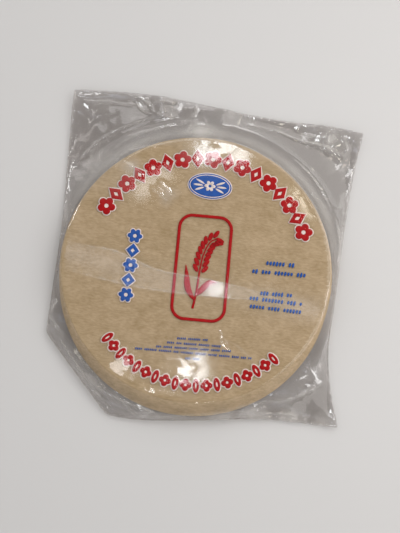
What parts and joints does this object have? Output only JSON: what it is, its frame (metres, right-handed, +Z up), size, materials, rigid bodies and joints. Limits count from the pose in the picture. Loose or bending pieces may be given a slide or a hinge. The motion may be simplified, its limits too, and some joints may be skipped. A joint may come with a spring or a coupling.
{
  "type": "rice paper wrapper pack",
  "caption": "Clear sealed film bag holding a flat round stack of rice paper wrappers, with wavy film margins, sealed head and foot and one corner folded under.",
  "frame": {"origin": "on the flat underside that the pack rests on, below the middle of the stack", "axes": "+Z up through the stack, +Y along the bag to its head, +X across the bag to its right side"},
  "size_m": [0.2527, 0.2693, 0.0168],
  "materials": {
    "wrapped_stack": "clear glossy film over pale tan rice paper",
    "clear_film": "clear crinkled packing film, heat sealed",
    "rice_paper": "dry brittle rice paper with the weave of its drying mat",
    "red_ink": "printed on the film",
    "blue_ink": "printed on the film",
    "white_ink": "printed on the film"
  },
  "bodies": {
    "root": {"sealed_bag": "wrapped_stack"}
  },
  "joints": []
}
